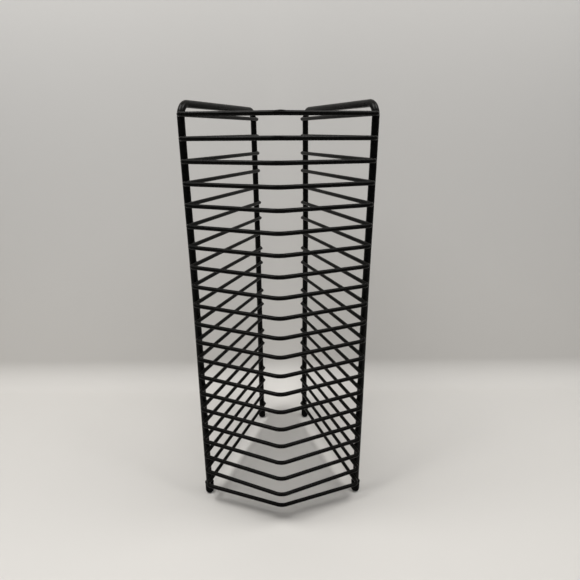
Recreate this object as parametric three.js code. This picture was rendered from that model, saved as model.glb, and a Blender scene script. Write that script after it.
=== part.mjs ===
// A free-standing wire tower that holds disc cases one above the other.
// Two bent side frames stand on four foot caps and carry a stack of bent level wires.
// Lengths are in millimetres. X runs across the tower, Y from its nose to its back, Z up from the floor.

import * as THREE from 'three';

// Plan of the tower

// Between the centre lines of the two front uprights, which spread a little towards the top
const frontSpanAtFloor = 133.8;
const frontSpanAtTop = 138.8;
// Between the centre lines of the two back uprights
const backSpan = 49.8;
// From the front uprights' line to the back uprights' line
const frameDepth = 121.5;
// How far ahead of the front uprights' line the two front runs of a level would meet
const noseReach = 44.2;
// The same on the lowest level, whose nose is drawn back
const lowNoseReach = 38.8;
// How far ahead of a front upright's centre the front run passes
const shoulderReach = 13.2;

// Heights of the tower

// From the floor to the top of the two top bars, at their front ends
const towerHeight = 335.85;
// How much further up the top bars reach at their back ends
const topBarBackRise = 2.4;
// The levels share the height evenly, so the pitch between them follows from their count
const levelCount = 21;
// Free height between a foot cap's rim and the lowest level wire
const capHeadroom = 5.3;
// From the top level's centre line up to the front end of the top bar's centre line
const topBarRise = 8.7;

// Wires

const frameWireDiameter = 5.5;
const levelWireDiameter = 3.2;
// Bend radii on the centre line
const frameBendRadius = 9.5;
const shoulderBendRadius = 4;
const noseBendRadius = 11;
// How far a level wire's end runs past the centre of its back upright
const stubReach = 0.5;
// Clearance between a level wire and the upright that it is welded to
const weldClearance = 0.3;

// Foot caps

const capDiameter = 7.5;
const capHeight = 11.5;
const capFloor = 2.5;
// Radius of the rounded lower edge
const capEdgeRadius = 2;
// The bead round the mouth
const capBeadHeight = 1.2;
const capBeadWidth = 0.25;
// Clearance between the cap's bore and the end of its upright
const capClearance = 0.2;

// Counts of the faceted sections and bends

const frameWireSides = 12;
const levelWireSides = 8;
const capSides = 16;
const capEdgeSteps = 3;
// A bend takes an even number of steps, none wider than this angle
const bendStepAngle = THREE.MathUtils.degToRad(24);

// Heights that follow

const topBarHeight = towerHeight - frameWireDiameter / 2;
const topLevelHeight = topBarHeight - topBarRise;
const lowLevelHeight = capHeight + capHeadroom + levelWireDiameter / 2;
const levelPitch = (topLevelHeight - lowLevelHeight) / (levelCount - 1);
const uprightFootHeight = capFloor + capClearance;

// Finishes

const coatColour = 0x16171a;
const coatRoughness = 0.42;
const coatMetalness = 0.55;
const capColour = 0x101011;
const capRoughness = 0.68;

// The centre line of a bent wire: straight runs between corners, each corner rounded by its own radius.
// Its stops are the ends of the straight runs and even steps round each bend.
class BentWirePath extends THREE.Curve {

  constructor(corners, bendRadii) {
    super();
    this.stops = [];
    const last = corners.length - 1;
    this.addStop(corners[0], headingBetween(corners[0], corners[1]));
    for (let index = 1; index < last; index += 1) {
      const arriving = headingBetween(corners[index - 1], corners[index]);
      const leaving = headingBetween(corners[index], corners[index + 1]);
      this.addBend(corners[index], arriving, leaving, bendRadii[index - 1]);
    }
    this.addStop(corners[last], headingBetween(corners[last - 1], corners[last]));
  }

  addStop(point, heading) {
    this.stops.push({ point: point.clone(), heading: heading.clone() });
  }

  addBend(corner, arriving, leaving, radius) {
    const turn = arriving.angleTo(leaving);
    const axis = arriving.clone().cross(leaving).normalize();
    const start = corner.clone().addScaledVector(arriving, -radius * Math.tan(turn / 2));
    const toStart = arriving.clone().cross(axis).multiplyScalar(radius);
    const centre = start.clone().sub(toStart);
    const steps = 2 * Math.ceil(turn / (2 * bendStepAngle));
    for (let step = 0; step <= steps; step += 1) {
      const angle = turn * step / steps;
      const point = toStart.clone().applyAxisAngle(axis, angle).add(centre);
      this.addStop(point, arriving.clone().applyAxisAngle(axis, angle));
    }
  }

  stopAt(share) {
    return this.stops[Math.round(share * (this.stops.length - 1))];
  }

  getPointAt(share, target = new THREE.Vector3()) {
    return target.copy(this.stopAt(share).point);
  }

  getTangentAt(share, target = new THREE.Vector3()) {
    return target.copy(this.stopAt(share).heading);
  }
}

function headingBetween(from, to) {
  return to.clone().sub(from).normalize();
}

// A round bar's section, as a polygon with its corners on the circle
function wireSection(diameter, sides) {
  const points = [];
  for (let side = 0; side < sides; side += 1) {
    const angle = 2 * Math.PI * side / sides;
    points.push(new THREE.Vector2(Math.cos(angle), Math.sin(angle)).multiplyScalar(diameter / 2));
  }
  return new THREE.Shape(points);
}

function bentWire(path, diameter, sides) {
  return new THREE.ExtrudeGeometry(wireSection(diameter, sides), {
    steps: path.stops.length - 1,
    curveSegments: sides,
    extrudePath: path,
  });
}

function namedMesh(name, geometry, colour, roughness, metalness) {
  const material = new THREE.MeshStandardMaterial({ color: colour, roughness, metalness });
  const mesh = new THREE.Mesh(geometry, material);
  mesh.name = name;
  return mesh;
}

// Places in plan on one side at one height. The side is -1 for the left and 1 for the right
function sidePlan(side, height) {
  const frontSpan = THREE.MathUtils.lerp(frontSpanAtFloor, frontSpanAtTop, height / topBarHeight);
  const front = new THREE.Vector3(side * frontSpan / 2, 0, 0);
  const back = new THREE.Vector3(side * backSpan / 2, frameDepth, 0);
  const heading = headingBetween(front, back);
  const inward = new THREE.Vector3(-side * heading.y, side * heading.x, 0);
  return { front, back, heading, inward };
}

// Where two lines in plan cross, each given by a point and a heading
function crossing(pointA, headingA, pointB, headingB) {
  const apart = pointB.clone().sub(pointA);
  const spread = headingA.x * headingB.y - headingA.y * headingB.x;
  const along = (apart.x * headingB.y - apart.y * headingB.x) / spread;
  return pointA.clone().addScaledVector(headingA, along);
}

// One side frame is an upside-down U: front upright, top bar, back upright
function sideFrame(name, side) {
  const foot = sidePlan(side, uprightFootHeight);
  const top = sidePlan(side, topBarHeight);
  const corners = [
    foot.front.setZ(uprightFootHeight),
    top.front.setZ(topBarHeight),
    top.back.setZ(topBarHeight + topBarBackRise),
    foot.back.setZ(uprightFootHeight),
  ];
  const path = new BentWirePath(corners, [frameBendRadius, frameBendRadius]);
  const geometry = bentWire(path, frameWireDiameter, frameWireSides);
  return namedMesh(name, geometry, coatColour, coatRoughness, coatMetalness);
}

// One level wire runs from the back end of one side, along the inner faces of both uprights,
// round the shoulder, out to the nose and back along the other side
function levelWire(name, height, reach) {
  const nose = new THREE.Vector3(0, -reach, 0);
  const seatOffset = (frameWireDiameter + levelWireDiameter) / 2 + weldClearance;
  const [left, right] = [-1, 1].map((side) => {
    const { front, back, heading, inward } = sidePlan(side, height);
    const seat = front.clone().addScaledVector(inward, seatOffset);
    const end = back.clone().addScaledVector(inward, seatOffset).addScaledVector(heading, stubReach);
    const passing = new THREE.Vector3(front.x, -shoulderReach, 0);
    return { end, shoulder: crossing(seat, heading, nose, headingBetween(nose, passing)) };
  });
  const corners = [left.end, left.shoulder, nose, right.shoulder, right.end];
  corners.forEach((corner) => corner.setZ(height));
  const path = new BentWirePath(corners, [shoulderBendRadius, noseBendRadius, shoulderBendRadius]);
  const geometry = bentWire(path, levelWireDiameter, levelWireSides);
  return namedMesh(name, geometry, coatColour, coatRoughness, coatMetalness);
}

// A foot cap is a soft cup with a flat floor, a rounded lower edge and a bead round its mouth
function footCap(name, upright) {
  const outer = capDiameter / 2;
  const bore = frameWireDiameter / 2 + capClearance;
  const bead = outer + capBeadWidth;
  const profile = [new THREE.Vector2(0, 0)];
  for (let step = 0; step <= capEdgeSteps; step += 1) {
    const angle = Math.PI / 2 * step / capEdgeSteps;
    const across = outer - capEdgeRadius + capEdgeRadius * Math.sin(angle);
    profile.push(new THREE.Vector2(across, capEdgeRadius - capEdgeRadius * Math.cos(angle)));
  }
  profile.push(
    new THREE.Vector2(outer, capHeight - capBeadHeight),
    new THREE.Vector2(bead, capHeight - capBeadHeight / 2),
    new THREE.Vector2(outer, capHeight),
    new THREE.Vector2(bore, capHeight),
    new THREE.Vector2(bore, capFloor),
    new THREE.Vector2(0, capFloor),
  );
  const geometry = new THREE.LatheGeometry(profile, capSides).rotateX(Math.PI / 2);
  const cap = namedMesh(name, geometry, capColour, capRoughness, 0);
  cap.position.copy(upright);
  return cap;
}

const tower = new THREE.Group();

[['left', -1], ['right', 1]].forEach(([word, side]) => {
  const { front, back } = sidePlan(side, capHeight / 2);
  tower.add(sideFrame(`side_frame_${word}`, side));
  tower.add(footCap(`foot_cap_front_${word}`, front));
  tower.add(footCap(`foot_cap_back_${word}`, back));
});

// Levels are numbered from the top down
for (let level = 1; level <= levelCount; level += 1) {
  const height = topLevelHeight - (level - 1) * levelPitch;
  const reach = level === levelCount ? lowNoseReach : noseReach;
  tower.add(levelWire(`shelf_wire_${String(level).padStart(2, '0')}`, height, reach));
}

// The origin lies on the floor, under the middle of the tower's outline
const outline = new THREE.Box3().setFromObject(tower);
tower.position.y = -(outline.min.y + outline.max.y) / 2;

export default tower;
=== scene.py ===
# A free-standing wire tower for disc cases: coated steel wire on four soft foot caps.
# Metres throughout. X runs across the tower, Y from its nose to its back, Z up from the floor.
import math

import bmesh
import bpy
from mathutils import Matrix, Vector, noise


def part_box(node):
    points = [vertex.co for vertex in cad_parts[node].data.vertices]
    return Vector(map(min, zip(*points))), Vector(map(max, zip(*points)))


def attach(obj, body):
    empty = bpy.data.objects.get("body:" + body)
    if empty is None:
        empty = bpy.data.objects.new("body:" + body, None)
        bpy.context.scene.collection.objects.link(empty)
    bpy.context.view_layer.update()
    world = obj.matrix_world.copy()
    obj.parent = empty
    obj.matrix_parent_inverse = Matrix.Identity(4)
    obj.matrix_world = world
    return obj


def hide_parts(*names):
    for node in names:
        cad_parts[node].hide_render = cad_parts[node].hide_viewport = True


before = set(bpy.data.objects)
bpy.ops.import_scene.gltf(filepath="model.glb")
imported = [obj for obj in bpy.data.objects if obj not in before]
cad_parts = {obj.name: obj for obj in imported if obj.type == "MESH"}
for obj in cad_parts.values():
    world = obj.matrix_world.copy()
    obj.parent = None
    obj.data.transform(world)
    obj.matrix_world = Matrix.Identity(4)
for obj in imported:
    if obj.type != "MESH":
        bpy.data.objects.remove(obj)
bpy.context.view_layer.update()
scene = bpy.context.scene
print("frame loaded,", len(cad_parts), "nodes")


# Places, read off the frame

millimetre = 0.001
sides = {"left": -1, "right": 1}

bentWire = {
    "frameRadius": 2.75 * millimetre,
    "levelRadius": 1.6 * millimetre,
    "frameBend": 9.5 * millimetre,      # bend radii on the centre line
    "shoulderBend": 4 * millimetre,
    "noseBend": 11 * millimetre,
    "noseReach": 44.2 * millimetre,     # ahead of the front uprights, where the two front runs would meet
    "lowNoseReach": 38.8 * millimetre,
    "shoulderReach": 13.2 * millimetre,
    "stubReach": 0.5 * millimetre,      # past the back upright's centre
    "weldClearance": 0.3 * millimetre,
    "topBarBackRise": 2.4 * millimetre,   # how much higher the top bars stand at their back ends
    # How far the welds draw each upright in, and where: half way up at skew 1,
    # higher at more than 1 and lower at less
    "frontBow": {"left": (0.7 * millimetre, 1.35), "right": (0.5 * millimetre, 1.35)},
    "backBow": {"left": (0.33 * millimetre, 1.0), "right": (0.62 * millimetre, 0.39)},
    # The back uprights' upper parts lean to the left
    "backLean": 1.0 * millimetre,
    "leanFrom": 215 * millimetre,
}


def middle(node):
    low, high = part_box(node)
    return (low + high) / 2


frontCap = middle("foot_cap_front_right")
backCap = middle("foot_cap_back_right")
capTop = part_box("foot_cap_back_right")[1].z
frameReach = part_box("side_frame_right")[1] - Vector((1, 0, 1)) * bentWire["frameRadius"]


def findTopBar():
    # Heights of the top bars' front and back corners. The back bend cuts its corner a little
    run = math.hypot(backCap.y - frontCap.y, frameReach.x - backCap.x)
    slope = math.atan(bentWire["topBarBackRise"] / run)
    cut = bentWire["frameBend"] * (math.tan(slope) + 1 / math.cos(slope) - 1)
    backHeight = frameReach.z + cut
    return backHeight - bentWire["topBarBackRise"], backHeight


topBarFront, topBarBack = findTopBar()


def frontHalfSpan(height):
    share = (height - frontCap.z) / (topBarFront - bentWire["frameBend"] - frontCap.z)
    return frontCap.x + (frameReach.x - frontCap.x) * share


def bowAt(bows, side, height):
    # Sideways shift of an upright, none inside the caps and at the top bends
    reach, skew = bows["left" if side < 0 else "right"]
    share = (height - capTop) / (topBarFront - 2 * bentWire["frameBend"] - capTop)
    return -side * reach * math.sin(math.pi * min(1, max(0, share)) ** skew) ** 2


def frontShift(side, height):
    return bowAt(bentWire["frontBow"], side, height)


def backShift(side, height):
    leanFrom = bentWire["leanFrom"]
    lean = max(0, (height - leanFrom) / (topBarBack - leanFrom))
    return bowAt(bentWire["backBow"], side, height) - bentWire["backLean"] * lean


def sidePlan(side, height):
    # The two uprights of one side at one height, the way from front to back and the way inwards
    frontX = side * frontHalfSpan(height) + frontShift(side, height)
    front = Vector((frontX, frontCap.y, height))
    back = Vector((side * backCap.x + backShift(side, height), backCap.y, height))
    heading = (back - front).normalized()
    inward = Vector((-side * heading.y, side * heading.x, 0))
    return front, back, heading, inward


# Wire making

def bentLine(corners, bendRadii, bendStep=math.radians(5), runStep=6 * millimetre):
    # A wire's centre line as points with their headings: straight runs, and an arc round each corner
    stops = []

    def addRun(start, end, heading):
        pieces = max(1, math.ceil((end - start).length / runStep))
        for piece in range(pieces + 1):
            stops.append((start.lerp(end, piece / pieces), heading.copy()))

    start = corners[0]
    for index in range(1, len(corners) - 1):
        arriving = (corners[index] - corners[index - 1]).normalized()
        leaving = (corners[index + 1] - corners[index]).normalized()
        turn = arriving.angle(leaving)
        axis = arriving.cross(leaving).normalized()
        radius = bendRadii[index - 1]
        bendStart = corners[index] - arriving * radius * math.tan(turn / 2)
        fromCentre = arriving.cross(axis) * radius
        centre = bendStart - fromCentre
        addRun(start, bendStart, arriving)
        steps = math.ceil(turn / bendStep)
        for step in range(1, steps):
            turned = Matrix.Rotation(turn * step / steps, 3, axis)
            stops.append((centre + turned @ fromCentre, turned @ arriving))
        start = centre + Matrix.Rotation(turn, 3, axis) @ fromCentre
    last = (corners[-1] - corners[-2]).normalized()
    addRun(start, corners[-1], last)
    return stops


def crossing(pointA, headingA, pointB, headingB):
    # Where two level lines cross in plan
    apart = pointB - pointA
    spread = headingA.x * headingB.y - headingA.y * headingB.x
    return pointA + headingA * ((apart.x * headingB.y - apart.y * headingB.x) / spread)


def joinRings(mesh, rings):
    # A skin between neighbouring rings of equal count
    made = []
    for ringA, ringB in zip(rings, rings[1:]):
        for turn in range(len(ringA)):
            after = (turn + 1) % len(ringA)
            made.append(mesh.faces.new((ringA[turn], ringA[after], ringB[after], ringB[turn])))
    return made


def closeEnds(mesh, rings):
    return [mesh.faces.new(list(reversed(rings[0]))), mesh.faces.new(rings[-1])]


def addTube(mesh, stops, look):
    # Sweeps a round section along the stops. The ends are cut flat, with an edge that the coat
    # has rounded
    radius, edge, edgeSteps = look["radius"], look["edgeRound"], look["edgeSteps"]
    rounding = []
    for step in range(edgeSteps):
        angle = math.pi / 2 * step / edgeSteps
        rounding.append((edge * (1 - math.cos(angle)), radius - edge * (1 - math.sin(angle))))
    firstPoint, firstHeading = stops[0]
    lastPoint, lastHeading = stops[-1]
    rings = [(firstPoint + firstHeading * inset, firstHeading, reach) for inset, reach in rounding]
    rings.append((firstPoint + firstHeading * edge, firstHeading, radius))
    rings += [(point, heading, radius) for point, heading in stops[1:-1]]
    rings.append((lastPoint - lastHeading * edge, lastHeading, radius))
    for inset, reach in reversed(rounding):
        rings.append((lastPoint - lastHeading * inset, lastHeading, reach))

    across = firstHeading.orthogonal().normalized()
    made = []
    for point, heading, reach in rings:
        across = (across - heading * across.dot(heading)).normalized()
        up = heading.cross(across)
        ring = []
        for side in range(look["sides"]):
            angle = 2 * math.pi * side / look["sides"]
            out = across * math.cos(angle) + up * math.sin(angle)
            hollow = 0.5 - 0.5 * noise.noise((point + out * reach) * look["ripplePerMetre"])
            ring.append(mesh.verts.new(point + out * reach * (1 - look["ripple"] * hollow)))
        made.append(ring)
    joinRings(mesh, made)
    closeEnds(mesh, made)


def smoothObject(name, mesh, materials):
    for face in mesh.faces:
        face.smooth = True
    data = bpy.data.meshes.new(name)
    mesh.to_mesh(data)
    mesh.free()
    for material in materials:
        data.materials.append(material)
    made = bpy.data.objects.new(name, data)
    scene.collection.objects.link(made)
    return made


def finishPiece(name, mesh, materials, node):
    # Turns a bmesh into a piece that stands for one CAD node
    bmesh.ops.recalc_face_normals(mesh, faces=mesh.faces)
    piece = smoothObject(name, mesh, materials)
    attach(piece, "root")
    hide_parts(node)


# Shader helpers

def newNode(tree, kind, **settings):
    node = tree.nodes.new(kind)
    for key, value in settings.items():
        if key in node.inputs:
            node.inputs[key].default_value = value
        else:
            setattr(node, key, value)
    return node


def newGroup(name, inputs, outputs):
    group = bpy.data.node_groups.new(name, "ShaderNodeTree")
    for label, kind, value in inputs:
        socket = group.interface.new_socket(name=label, in_out="INPUT", socket_type=kind)
        if value is not None:
            socket.default_value = value
    for label, kind in outputs:
        group.interface.new_socket(name=label, in_out="OUTPUT", socket_type=kind)
    return group, group.nodes.new("NodeGroupInput"), group.nodes.new("NodeGroupOutput")


def useGroup(tree, group, vector, **values):
    node = tree.nodes.new("ShaderNodeGroup")
    node.node_tree = group
    tree.links.new(vector, node.inputs["Vector"])
    for key, value in values.items():
        node.inputs[key].default_value = value
    return node


def mathNode(tree, operation, first, second):
    node = tree.nodes.new("ShaderNodeMath")
    node.operation = operation
    for socket, value in zip(node.inputs, (first, second)):
        if isinstance(value, (int, float)):
            socket.default_value = value
        else:
            tree.links.new(value, socket)
    return node.outputs[0]


def rangeNode(tree, value, fromLow, fromHigh, toLow, toHigh, smooth=False):
    node = tree.nodes.new("ShaderNodeMapRange")
    node.interpolation_type = "SMOOTHSTEP" if smooth else "LINEAR"
    tree.links.new(value, node.inputs["Value"])
    limits = {"From Min": fromLow, "From Max": fromHigh, "To Min": toLow, "To Max": toHigh}
    for key, number in limits.items():
        node.inputs[key].default_value = number
    return node.outputs["Result"]


def colourMix(tree, mask, colourA, colourB):
    node = tree.nodes.new("ShaderNodeMix")
    node.data_type = "RGBA"
    tree.links.new(mask, node.inputs["Factor"])
    for socket, colour in ((node.inputs["A"], colourA), (node.inputs["B"], colourB)):
        if isinstance(colour, tuple):
            socket.default_value = (*colour, 1)
        else:
            tree.links.new(colour, socket)
    return node.outputs["Result"]


def mixShaders(tree, mask, shaderA, shaderB):
    node = tree.nodes.new("ShaderNodeMixShader")
    for socket, source in zip(node.inputs, (mask, shaderA.outputs[0], shaderB.outputs[0])):
        tree.links.new(source, socket)
    return node


# Effects that both the coat and the caps use. A range is from low, from high, to low and to high

maskRanges = {
    "facingUp": (0.1, 0.95, 0, 1),
    "dustPatches": (0.35, 0.7, 0.15, 1),
    "dustSpecks": (0.4, 0.65, 0.3, 1),
    "rubbedPatches": (0.42, 0.66, 0, 1),
    "scuffs": (0.6, 0.74, 0, 1),
    "colourDrift": (0.3, 0.7, 0, 1),
}


def makeOrangePeel():
    # The slow swell and the fine grain of a sprayed or moulded skin, as one height
    group, entry, leaving = newGroup(
        "orangePeel",
        [("Vector", "NodeSocketVector", None), ("Swell Scale", "NodeSocketFloat", 500),
         ("Grain Scale", "NodeSocketFloat", 2600), ("Grain Share", "NodeSocketFloat", 0.25)],
        [("Height", "NodeSocketFloat"), ("Swell", "NodeSocketFloat")],
    )
    swell = newNode(group, "ShaderNodeTexNoise", Detail=1.5, Roughness=0.45)
    grain = newNode(group, "ShaderNodeTexNoise", Detail=2.0, Roughness=0.6)
    for node, label in ((swell, "Swell Scale"), (grain, "Grain Scale")):
        group.links.new(entry.outputs["Vector"], node.inputs["Vector"])
        group.links.new(entry.outputs[label], node.inputs["Scale"])
    fine = mathNode(group, "MULTIPLY", grain.outputs["Fac"], entry.outputs["Grain Share"])
    height = mathNode(group, "ADD", swell.outputs["Fac"], fine)
    group.links.new(height, leaving.inputs["Height"])
    group.links.new(swell.outputs["Fac"], leaving.inputs["Swell"])
    return group


def makeShelfDust():
    # Dust that settles on what faces up, in patches
    group, entry, leaving = newGroup(
        "shelfDust",
        [("Vector", "NodeSocketVector", None), ("Patch Scale", "NodeSocketFloat", 60),
         ("Speck Scale", "NodeSocketFloat", 1800), ("Amount", "NodeSocketFloat", 0.5)],
        [("Mask", "NodeSocketFloat")],
    )
    geometry = group.nodes.new("ShaderNodeNewGeometry")
    parts = group.nodes.new("ShaderNodeSeparateXYZ")
    group.links.new(geometry.outputs["Normal"], parts.inputs[0])
    facing = rangeNode(group, parts.outputs["Z"], *maskRanges["facingUp"], smooth=True)
    patch = newNode(group, "ShaderNodeTexNoise", Detail=3.0, Roughness=0.6)
    speck = newNode(group, "ShaderNodeTexNoise", Detail=2.0, Roughness=0.7)
    for node, label in ((patch, "Patch Scale"), (speck, "Speck Scale")):
        group.links.new(entry.outputs["Vector"], node.inputs["Vector"])
        group.links.new(entry.outputs[label], node.inputs["Scale"])
    patches = rangeNode(group, patch.outputs["Fac"], *maskRanges["dustPatches"], smooth=True)
    specks = rangeNode(group, speck.outputs["Fac"], *maskRanges["dustSpecks"], smooth=True)
    film = mathNode(group, "MULTIPLY", patches, specks)
    settled = mathNode(group, "MULTIPLY", film, facing)
    mask = mathNode(group, "MULTIPLY", settled, entry.outputs["Amount"])
    group.links.new(mask, leaving.inputs["Mask"])
    return group


def makeHandling():
    # Faint scuffs and rubbed patches where cases slide and hands reach
    group, entry, leaving = newGroup(
        "handling",
        [("Vector", "NodeSocketVector", None), ("Patch Scale", "NodeSocketFloat", 45),
         ("Scuff Scale", "NodeSocketFloat", 900), ("Amount", "NodeSocketFloat", 0.5)],
        [("Rubbed", "NodeSocketFloat"), ("Scuffs", "NodeSocketFloat")],
    )
    patch = newNode(group, "ShaderNodeTexNoise", Detail=2.0, Roughness=0.5)
    scuff = newNode(group, "ShaderNodeTexNoise", Detail=4.0, Roughness=0.75, Distortion=1.2)
    for node, label in ((patch, "Patch Scale"), (scuff, "Scuff Scale")):
        group.links.new(entry.outputs["Vector"], node.inputs["Vector"])
        group.links.new(entry.outputs[label], node.inputs["Scale"])
    patches = rangeNode(group, patch.outputs["Fac"], *maskRanges["rubbedPatches"], smooth=True)
    scuffs = rangeNode(group, scuff.outputs["Fac"], *maskRanges["scuffs"], smooth=True)
    rubbed = mathNode(group, "MULTIPLY", patches, entry.outputs["Amount"])
    scratched = mathNode(group, "MULTIPLY", scuffs, rubbed)
    group.links.new(rubbed, leaving.inputs["Rubbed"])
    group.links.new(scratched, leaving.inputs["Scuffs"])
    return group


orangePeel = makeOrangePeel()
shelfDust = makeShelfDust()
handling = makeHandling()
print("shared effects made")


# Finishes

def startMaterial(name):
    material = bpy.data.materials.new(name)
    material.use_nodes = True
    tree = material.node_tree
    shader = tree.nodes["Principled BSDF"]
    place = tree.nodes.new("ShaderNodeTexCoord").outputs["Object"]
    return material, tree, shader, place


def makeSkin(name, finish):
    # What the coats and the caps share: colour drift, dust, rubbed patches and an uneven surface
    material, tree, shader, place = startMaterial(name)
    shader.inputs["Specular IOR Level"].default_value = finish["shine"]
    peel = useGroup(tree, orangePeel, place, **finish["peel"])
    dust = useGroup(tree, shelfDust, place, **finish["dust"])
    hands = useGroup(tree, handling, place, **finish["handling"])
    swellRange = maskRanges["colourDrift"]
    drift = rangeNode(tree, peel.outputs["Swell"], *swellRange, smooth=True)
    plain = colourMix(tree, drift, finish["deepColour"], finish["paleColour"])
    scuffed = colourMix(tree, hands.outputs["Scuffs"], plain, finish["scuffColour"])
    dusty = colourMix(tree, dust.outputs["Mask"], scuffed, finish["dustColour"])
    tree.links.new(dusty, shader.inputs["Base Color"])
    roughRange = (*swellRange[:2], finish["roughLow"], finish["roughHigh"])
    uneven = rangeNode(tree, peel.outputs["Swell"], *roughRange)
    rubbed = mathNode(tree, "MULTIPLY", hands.outputs["Rubbed"], finish["rubbedChange"])
    dulled = mathNode(tree, "MULTIPLY", dust.outputs["Mask"], finish["dustDulling"])
    worn = mathNode(tree, "ADD", mathNode(tree, "ADD", uneven, rubbed), dulled)
    tree.links.new(worn, shader.inputs["Roughness"])
    bump = newNode(tree, "ShaderNodeBump", Strength=finish["bumpStrength"], Distance=finish["bumpDepth"])
    tree.links.new(peel.outputs["Height"], bump.inputs["Height"])
    tree.links.new(bump.outputs["Normal"], shader.inputs["Normal"])
    return material


def makeBlackCoat(name, shine):
    return makeSkin(name, {
        "shine": shine,
        "deepColour": (0.0009, 0.0009, 0.0008),
        "paleColour": (0.0022, 0.0022, 0.0019),
        "scuffColour": (0.014, 0.0125, 0.010),
        "dustColour": (0.040, 0.037, 0.031),
        "roughLow": 0.27, "roughHigh": 0.38,
        "rubbedChange": -0.08, "dustDulling": 0.5,
        "bumpStrength": 0.6, "bumpDepth": 0.05 * millimetre,
        "peel": {"Swell Scale": 620, "Grain Scale": 3200, "Grain Share": 0.22},
        "dust": {"Patch Scale": 55, "Speck Scale": 2200, "Amount": 0.16},
        "handling": {"Patch Scale": 38, "Scuff Scale": 1100, "Amount": 0.6},
    })


def makeWeldCoat():
    # The same coat where it lies over a weld: fuller, lumpier and a little shinier
    return makeSkin("blackCoatOverWeld", {
        "shine": 0.10,
        "deepColour": (0.0010, 0.0010, 0.0009),
        "paleColour": (0.0028, 0.0028, 0.0024),
        "scuffColour": (0.018, 0.016, 0.013),
        "dustColour": (0.050, 0.046, 0.039),
        "roughLow": 0.26, "roughHigh": 0.42,
        "rubbedChange": -0.04, "dustDulling": 0.4,
        "bumpStrength": 0.9, "bumpDepth": 0.12 * millimetre,
        "peel": {"Swell Scale": 1100, "Grain Scale": 4200, "Grain Share": 0.3},
        "dust": {"Patch Scale": 70, "Speck Scale": 2200, "Amount": 0.22},
        "handling": {"Patch Scale": 60, "Scuff Scale": 1400, "Amount": 0.4},
    })


def makeCapRubber():
    return makeSkin("softBlackCap", {
        "shine": 0.06,
        "deepColour": (0.0006, 0.0006, 0.0006),
        "paleColour": (0.0014, 0.0014, 0.0014),
        "scuffColour": (0.020, 0.019, 0.018),
        "dustColour": (0.055, 0.051, 0.045),
        "roughLow": 0.56, "roughHigh": 0.70,
        "rubbedChange": -0.10, "dustDulling": 0.25,
        "bumpStrength": 0.5, "bumpDepth": 0.04 * millimetre,
        "peel": {"Swell Scale": 900, "Grain Scale": 5200, "Grain Share": 0.5},
        "dust": {"Patch Scale": 160, "Speck Scale": 2600, "Amount": 0.12},
        "handling": {"Patch Scale": 220, "Scuff Scale": 1500, "Amount": 0.9},
    })


frameCoat = makeBlackCoat("satinBlackCoat", 0.088)
levelCoat = makeBlackCoat("thinBlackCoat", 0.062)   # the thinner wires take a thinner, duller coat
weldCoat = makeWeldCoat()
capRubber = makeCapRubber()
print("finishes made")


# Side frames

sideFrameLook = {
    "radius": bentWire["frameRadius"],
    "sides": 32,
    "edgeRound": 0.5 * millimetre,
    "edgeSteps": 3,
    "ripple": 0.006,
    "ripplePerMetre": 160,
}


def makeSideFrame(word, side):
    node = f"side_frame_{word}"
    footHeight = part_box(node)[0].z
    footFront, footBack = sidePlan(side, footHeight)[:2]
    topFront = sidePlan(side, topBarFront)[0]
    topBack = Vector((footBack.x, footBack.y, topBarBack))
    stops = bentLine([footFront, topFront, topBack, footBack], [bentWire["frameBend"]] * 2)
    depth = footBack.y - footFront.y
    for point, heading in stops:
        backShare = (point.y - footFront.y) / depth
        point.x += frontShift(side, point.z) * (1 - backShare) + backShift(side, point.z) * backShare
    mesh = bmesh.new()
    addTube(mesh, stops, sideFrameLook)
    finishPiece(f"{node}_coated", mesh, [frameCoat], node)


for word, side in sides.items():
    makeSideFrame(word, side)
print("side frames made")


# Level wires with their welds

levelLook = {
    "radius": bentWire["levelRadius"],
    "sides": 24,
    "edgeRound": 1.1 * millimetre,
    "edgeSteps": 6,
    "ripple": 0.010,
    "ripplePerMetre": 240,
    # How much closer the wire sits on the back upright than on the front one
    "pressedIn": 0.9 * millimetre,
    # How far the back ends of the upper levels were welded above their front, from the top down
    "backRise": [3.3 * millimetre, 3.3 * millimetre, 2.8 * millimetre, 1.5 * millimetre,
                 1.2 * millimetre, 1.0 * millimetre, 0.8 * millimetre, 0.6 * millimetre],
    # The top level's front run lies flatter than the others: its shoulders higher, its nose lower
    "topShoulderRise": 0.75 * millimetre,
    "topNoseDrop": 0.35 * millimetre,
}

weldLook = {
    "uprightAlongWire": 2.15 * millimetre,   # half sizes of the collar on the upright
    "uprightUp": 1.8 * millimetre,
    "wireAlongWire": 2.0 * millimetre,       # and on the level wire
    "wireUp": 1.42 * millimetre,
    "waistShare": 0.24,                      # how far the waist draws in
    "flashHeight": 0.16 * millimetre,        # the squeezed-out lip that stands on the upright
    "sunk": 0.05 * millimetre,
    "around": 28,
    "upSteps": 9,
    "lipsInDepth": 3,                        # the lip takes the first third of the collar's depth
    "unevenShare": 0.09,
    "lumpsAround": 1.3,                      # how fast the unevenness changes round a collar and a bead
    "beadLumps": 1.6,
    "lumpStep": 7.3,                         # and from one weld to the next
    "beadLumpStep": 5.1,
    "fullestUp": 1.04,                       # the most that a lump adds to a collar's height
    # The bead where the wire is pressed in: half sizes along the wire, up and inwards
    "bead": (2.7 * millimetre, 2.15 * millimetre, 1.15 * millimetre),
    "beadDepth": 2.45 * millimetre,          # from the upright's centre to the bead's
    "beadRings": 14,
    # The run of coat that has set on top of the top level's nose, and where it lies from the nose's tip
    "coatRun": (3.8 * millimetre, 0.72 * millimetre, 1.0 * millimetre),
    "coatRunPlace": (2.1 * millimetre, 0.2 * millimetre, 1.18 * millimetre),
}


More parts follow.
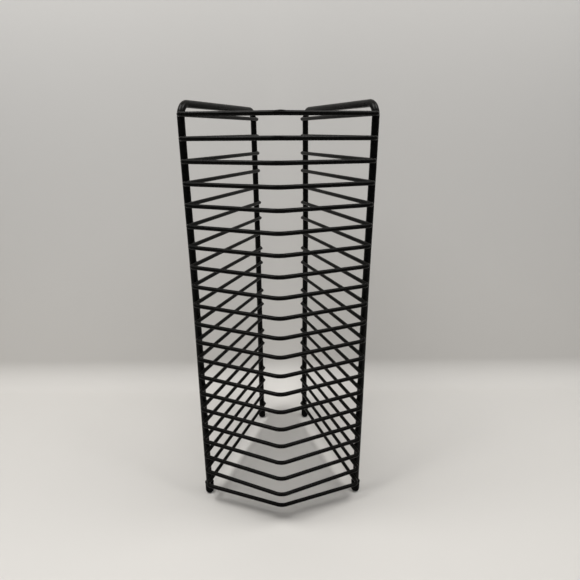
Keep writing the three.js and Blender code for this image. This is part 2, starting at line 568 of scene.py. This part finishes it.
def addWeld(mesh, upright, inward, along, seed):
    # A collar that joins the level wire to the upright, with its lip on the upright's face
    up = along.cross(inward)
    frameRadius, levelRadius = bentWire["frameRadius"], bentWire["levelRadius"]
    wireDepth = frameRadius + bentWire["weldClearance"] + levelRadius
    lumps = weldLook["lumpsAround"]
    rings = []
    for step in range(weldLook["upSteps"] + 1):
        share = step / weldLook["upSteps"]
        ease = share * share * (3 - 2 * share)
        waist = 1 - weldLook["waistShare"] * math.sin(math.pi * share)
        lipShare = share * weldLook["lipsInDepth"]
        lip = weldLook["flashHeight"] * math.sin(math.pi * lipShare) if lipShare < 1 else 0
        ring = []
        for turn in range(weldLook["around"]):
            angle = 2 * math.pi * turn / weldLook["around"]
            spot = Vector((math.cos(angle) * lumps, math.sin(angle) * lumps, seed * weldLook["lumpStep"]))
            lump = 1 + weldLook["unevenShare"] * noise.noise(spot)
            reachAlong = weldLook["uprightAlongWire"] * (1 - ease) + weldLook["wireAlongWire"] * ease
            reachUp = weldLook["uprightUp"] * (1 - ease) + weldLook["wireUp"] * ease
            acrossU = math.cos(angle) * reachAlong * waist * lump
            acrossV = math.sin(angle) * reachUp * waist * min(lump, weldLook["fullestUp"])
            uprightFace = math.sqrt(max(0, frameRadius ** 2 - acrossU ** 2)) - weldLook["sunk"]
            wireFace = wireDepth - math.sqrt(max(0, levelRadius ** 2 - acrossV ** 2)) + weldLook["sunk"]
            depth = uprightFace * (1 - ease) + wireFace * ease + lip
            ring.append(mesh.verts.new(upright + inward * depth + along * acrossU + up * acrossV))
        rings.append(ring)
    for face in joinRings(mesh, rings) + closeEnds(mesh, rings):
        face.material_index = 1


def addBead(mesh, centre, inward, along, halfSizes, seed):
    # A lumpy flattened bead, as where one wire is pressed into the other
    up = along.cross(inward)
    halfAlong, halfUp, halfInward = halfSizes
    rings = []
    for step in range(1, weldLook["beadRings"]):
        tilt = math.pi * step / weldLook["beadRings"]
        ring = []
        for turn in range(weldLook["around"]):
            angle = 2 * math.pi * turn / weldLook["around"]
            across = math.sin(tilt)
            way = Vector((across * math.cos(angle), across * math.sin(angle), math.cos(tilt)))
            spot = way * weldLook["beadLumps"] + Vector((0, 0, seed * weldLook["beadLumpStep"]))
            lump = 1 + weldLook["unevenShare"] * noise.noise(spot)
            ring.append(mesh.verts.new(
                centre
                + along * way.x * halfAlong * lump
                + up * way.y * halfUp * lump
                + inward * way.z * halfInward * lump
            ))
        rings.append(ring)
    made = joinRings(mesh, rings)
    for ring, pole in ((rings[0], 1), (rings[-1], -1)):
        tip = mesh.verts.new(centre + inward * pole * halfInward)
        for turn in range(weldLook["around"]):
            made.append(mesh.faces.new((tip, ring[turn], ring[(turn + 1) % weldLook["around"]])))
    for face in made:
        face.material_index = 1


def makeLevelWire(number, levels):
    node = f"shelf_wire_{number:02d}"
    height = middle(node).z
    reach = bentWire["lowNoseReach"] if number == levels else bentWire["noseReach"]
    seatOffset = bentWire["frameRadius"] + bentWire["levelRadius"] + bentWire["weldClearance"]
    nose = Vector((0, frontCap.y - reach, height))
    rises = levelLook["backRise"]
    rise = Vector((0, 0, rises[number - 1] if number <= len(rises) else 0))
    shoulderRise = Vector((0, 0, levelLook["topShoulderRise"] if number == 1 else 0))
    nose.z -= levelLook["topNoseDrop"] if number == 1 else 0
    ends, shoulders, welds, beads = {}, {}, [], []
    for word, side in sides.items():
        front, back, heading, inward = sidePlan(side, height)
        frontSeat = front + inward * seatOffset
        backSeat = back + inward * (seatOffset - levelLook["pressedIn"])
        run = (backSeat - frontSeat).normalized()
        tip = Vector((0, nose.y, height))
        passing = Vector((front.x, frontCap.y - bentWire["shoulderReach"], height))
        shoulder = crossing(frontSeat, run, tip, (passing - tip).normalized())
        end = backSeat + run * bentWire["stubReach"]
        frontShare = (frontSeat - shoulder).length / (end - shoulder).length
        welds.append((front + shoulderRise.lerp(rise, frontShare), inward, heading))
        shoulders[word] = shoulder + shoulderRise
        ends[word] = end + rise
        beads.append((back + rise + inward * weldLook["beadDepth"], inward, heading))
    corners = [ends["left"], shoulders["left"], nose, shoulders["right"], ends["right"]]
    bends = [bentWire["shoulderBend"], bentWire["noseBend"], bentWire["shoulderBend"]]
    stops = bentLine(corners, bends)
    mesh = bmesh.new()
    addTube(mesh, stops, levelLook)
    seed = number * (len(welds) + len(beads))
    for index, (upright, inward, heading) in enumerate(welds):
        addWeld(mesh, upright, inward, heading, seed + index)
    for index, (centre, inward, heading) in enumerate(beads):
        addBead(mesh, centre, inward, heading, weldLook["bead"], seed + len(welds) + index)
    if number == 1:
        noseTip = min((point for point, heading in stops), key=lambda point: point.y)
        runCentre = noseTip + Vector(weldLook["coatRunPlace"])
        addBead(mesh, runCentre, Vector((0, 1, 0)), Vector((-1, 0, 0)), weldLook["coatRun"], number)
    finishPiece(f"{node}_coated", mesh, [levelCoat, weldCoat], node)


levelNodes = sorted(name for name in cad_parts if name.startswith("shelf_wire_"))
for number in range(1, len(levelNodes) + 1):
    makeLevelWire(number, len(levelNodes))
print(len(levelNodes), "level wires made")


# Foot caps

capLook = {
    "radius": 3.75 * millimetre,
    "edgeRound": 3 * millimetre,
    "beadOut": 0.25 * millimetre,
    "beadHeight": 1.2 * millimetre,
    "lipRound": 0.35 * millimetre,
    "boreDepth": 8.7 * millimetre,
    "floorRingShare": 0.6,              # of the flat floor's radius
    "lipFade": 4,                       # the power by which the bead draws in towards its lip
    "lipRoundShare": 0.9,               # how far the lip's round reaches in, of its radius
    "mouthStep": 0.15 * millimetre,     # the small bevel at the bore's mouth, across and down
    "mouthDrop": 0.2 * millimetre,
    "around": 56,
    "arcSteps": 8,
    "ripple": 0.006,
    "ripplePerMetre": 300,
}


def capProfile(height):
    # Half section of the cap, from the middle of its floor out, up and down into the bore
    look = capLook
    outer, edge, bead, lip = look["radius"], look["edgeRound"], look["beadOut"], look["lipRound"]
    arcSteps = look["arcSteps"]
    bore = bentWire["frameRadius"]
    points = [(0, 0), ((outer - edge) * look["floorRingShare"], 0)]
    for step in range(arcSteps + 1):
        angle = math.pi / 2 * step / arcSteps
        points.append((outer - edge + edge * math.sin(angle), edge * (1 - math.cos(angle))))
    beadFoot = height - look["beadHeight"]
    points.append((outer, (edge + beadFoot) / 2))
    points.append((outer, beadFoot - bead))
    for step in range(arcSteps + 1):
        share = step / arcSteps
        reach = outer + bead * math.sin(math.pi * share) - lip * share ** look["lipFade"]
        points.append((reach, beadFoot + (height - beadFoot - lip) * share))
    for step in range(1, arcSteps + 1):
        angle = math.pi / 2 * step / arcSteps
        rounding = lip * math.sin(angle)
        points.append((outer - lip - rounding * look["lipRoundShare"], height - lip + rounding))
    points.append((bore + look["mouthStep"], height))
    points.append((bore, height - look["mouthDrop"]))
    points.append((bore, height - look["boreDepth"]))
    points.append((0, height - look["boreDepth"]))
    return points


def makeFootCap(place, word):
    node = f"foot_cap_{place}_{word}"
    low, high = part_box(node)
    centre = middle(node)
    mesh = bmesh.new()
    rings = []
    for reach, lift in capProfile(high.z - low.z):
        if reach == 0:
            rings.append([mesh.verts.new((centre.x, centre.y, low.z + lift))])
            continue
        ring = []
        for turn in range(capLook["around"]):
            angle = 2 * math.pi * turn / capLook["around"]
            out = Vector((math.cos(angle), math.sin(angle), 0))
            spot = Vector((centre.x, centre.y, low.z + lift)) + out * reach
            ripple = capLook["ripple"] * (noise.noise(spot * capLook["ripplePerMetre"]) - 0.5)
            ring.append(mesh.verts.new(spot + out * reach * ripple))
        rings.append(ring)
    for ringA, ringB in zip(rings, rings[1:]):
        for turn in range(capLook["around"]):
            after = (turn + 1) % capLook["around"]
            if len(ringA) == 1:
                mesh.faces.new((ringA[0], ringB[turn], ringB[after]))
            elif len(ringB) == 1:
                mesh.faces.new((ringA[turn], ringB[0], ringA[after]))
            else:
                mesh.faces.new((ringA[turn], ringB[turn], ringB[after], ringA[after]))
    finishPiece(f"{node}_moulded", mesh, [capRubber], node)


for place in ("front", "back"):
    for word in sides:
        makeFootCap(place, word)
print("foot caps made")


# World light, and the pale tone that shows past the floor and backdrop

worldLook = {
    "colour": (0.97, 0.985, 1.0, 1),
    "strength": 0.185,      # what lights the tower
    "seenColour": (1.0, 0.99, 0.97, 1),
    "seenStrength": 0.50,   # what shows where a view looks past the stage
}


def makeWorld():
    world = bpy.data.worlds.new("softRoom")
    world.use_nodes = True
    tree = world.node_tree
    lighting = tree.nodes["Background"]
    lighting.inputs["Color"].default_value = worldLook["colour"]
    lighting.inputs["Strength"].default_value = worldLook["strength"]
    seen = newNode(
        tree, "ShaderNodeBackground", Color=worldLook["seenColour"], Strength=worldLook["seenStrength"]
    )
    path = tree.nodes.new("ShaderNodeLightPath")
    background = mixShaders(tree, path.outputs["Is Camera Ray"], lighting, seen)
    tree.links.new(background.outputs[0], tree.nodes["World Output"].inputs["Surface"])
    scene.world = world


makeWorld()
print("world made")


# Floor and backdrop, one sheet with a soft sweep behind the tower

stageLook = {
    "wallBehindFront": 0.207,   # from the front uprights to the wall
    "sweepRadius": 0.032,
    "sweepSteps": 12,
    "sweepLead": 0.001,         # flat floor between the last corner and the sweep
    "halfWidth": 2.2,
    "floorAhead": 2.0,
    "floorBehind": 2.0,         # the floor goes on behind the wall, which can't be seen from there
    "tuckLength": 0.004,        # how far that floor is tucked under the sheet's
    "tuckDrop": 0.0005,
    # Between these distances from the tower the camera sees the sheet turn to the world's pale tone
    "fadeFrom": 0.60,
    "fadeTo": 1.30,
    "wallHeight": 1.5,
    "floorColour": (0.610, 0.600, 0.583),
    # The wall's darker tone is painted shade: the sheet is one material, painted darker up the wall where
    # less light falls than on the floor
    "shadedWallColour": (0.475, 0.472, 0.466),
    "wallShadeFadeHeight": 0.40,     # up to here the sheet fades from the floor's colour to the wall's darker one, which is painted shade
    "mottleScale": 2.2,
    "mottleWarmth": 0.01,
    "roughness": 0.85,
    "shine": 0.2,
}


def makeStage():
    look = stageLook
    wallY = frontCap.y + look["wallBehindFront"]
    outline = [(-look["floorAhead"], 0), (wallY - look["sweepRadius"] - look["sweepLead"], 0)]
    for step in range(look["sweepSteps"] + 1):
        angle = math.pi / 2 * step / look["sweepSteps"]
        outline.append((
            wallY - look["sweepRadius"] * (1 - math.sin(angle)),
            look["sweepRadius"] * (1 - math.cos(angle)),
        ))
    outline.append((wallY, look["wallHeight"]))
    tuckY = wallY - look["sweepRadius"] - look["tuckLength"]
    behind = [(tuckY, -look["tuckDrop"]), (look["floorBehind"], -look["tuckDrop"])]
    mesh = bmesh.new()
    for strip in (outline, behind):
        edges = []
        for x in (-look["halfWidth"], look["halfWidth"]):
            edges.append([mesh.verts.new((x, y, z)) for y, z in strip])
        left, right = edges
        for index in range(len(strip) - 1):
            mesh.faces.new((left[index], right[index], right[index + 1], left[index + 1]))
    stage = smoothObject("stageSheet", mesh, [makeStageFinish()])


def makeStageFinish():
    look = stageLook
    material, tree, shader, place = startMaterial("paleStage")
    mottle = newNode(tree, "ShaderNodeTexNoise", Scale=look["mottleScale"], Detail=2.0)
    tree.links.new(place, mottle.inputs["Vector"])
    spot = tree.nodes.new("ShaderNodeSeparateXYZ")
    tree.links.new(place, spot.inputs[0])
    # Painted shade: the sheet darkens from the floor's tone to the wall's as it rises
    wallShadeShare = rangeNode(tree, spot.outputs["Z"], 0, look["wallShadeFadeHeight"], 0, 1, smooth=True)
    shades = []
    for base in (look["floorColour"], look["shadedWallColour"]):
        warmer = (base[0] * (1 + look["mottleWarmth"]), base[1], base[2] * (1 - look["mottleWarmth"]))
        shades.append(colourMix(tree, mottle.outputs["Fac"], base, warmer))
    tree.links.new(colourMix(tree, wallShadeShare, *shades), shader.inputs["Base Color"])
    shader.inputs["Roughness"].default_value = look["roughness"]
    shader.inputs["Specular IOR Level"].default_value = look["shine"]
    distance = newNode(tree, "ShaderNodeVectorMath", operation="LENGTH")
    tree.links.new(place, distance.inputs[0])
    far = rangeNode(tree, distance.outputs["Value"], look["fadeFrom"], look["fadeTo"], 0, 1, smooth=True)
    path = tree.nodes.new("ShaderNodeLightPath")
    farSeen = mathNode(tree, "MULTIPLY", far, path.outputs["Is Camera Ray"])
    haze = newNode(
        tree, "ShaderNodeEmission", Color=worldLook["seenColour"], Strength=worldLook["seenStrength"]
    )
    faded = mixShaders(tree, farSeen, shader, haze)
    # Seen from behind, the wall lets the view through
    clear = tree.nodes.new("ShaderNodeBsdfTransparent")
    facing = tree.nodes.new("ShaderNodeNewGeometry")
    surface = mixShaders(tree, facing.outputs["Backfacing"], faded, clear)
    tree.links.new(surface.outputs[0], tree.nodes["Material Output"].inputs["Surface"])
    return material


makeStage()
print("stage made")


# Light and camera

lampColour = (1.0, 0.985, 0.96)
lightPlan = {
    "upperLeft": {"place": (-0.42, -0.22, 0.96), "aim": (0, 0.02, 0.10), "size": 0.42, "power": 5.7},
    "upperRight": {"place": (0.42, -0.18, 0.96), "aim": (0, 0.02, 0.10), "size": 0.42, "power": 4.3},
    "overhead": {"place": (0.0, -0.34, 1.05), "aim": (0, 0.02, 0.10), "size": 0.6, "power": 2.2},
}


def makeLights():
    for name, plan in lightPlan.items():
        lamp = bpy.data.lights.new(name, "AREA")
        lamp.shape = "DISK"
        lamp.size = plan["size"]
        lamp.energy = plan["power"]
        lamp.color = lampColour
        light = bpy.data.objects.new(name, lamp)
        light.location = plan["place"]
        ray = Vector(plan["aim"]) - light.location
        light.rotation_euler = ray.to_track_quat("-Z", "Y").to_euler()
        scene.collection.objects.link(light)
    scene.view_settings.view_transform = "Standard"


def makeCamera():
    view = {
        "place": Vector((5.4, -391.3, 306.4)) * millimetre,
        "focalPixels": 462.4,
        "framePixels": 580,
        "down": 17.70, "turnedRight": 0.37, "rolled": 0.27,   # degrees
        "sensorWidth": 36, "clipStart": 0.01,
    }
    data = bpy.data.cameras.new("photoCamera")
    data.sensor_width = view["sensorWidth"]
    data.lens = view["sensorWidth"] * view["focalPixels"] / view["framePixels"]
    data.clip_start = view["clipStart"]
    camera = bpy.data.objects.new("photoCamera", data)
    turn = Matrix.Rotation(-math.radians(view["turnedRight"]), 4, "Z")
    tip = Matrix.Rotation(math.pi / 2 - math.radians(view["down"]), 4, "X")
    roll = Matrix.Rotation(-math.radians(view["rolled"]), 4, "Z")
    camera.matrix_world = Matrix.Translation(view["place"]) @ turn @ tip @ roll
    scene.collection.objects.link(camera)
    scene.camera = camera


makeLights()
makeCamera()
print("light and camera set")
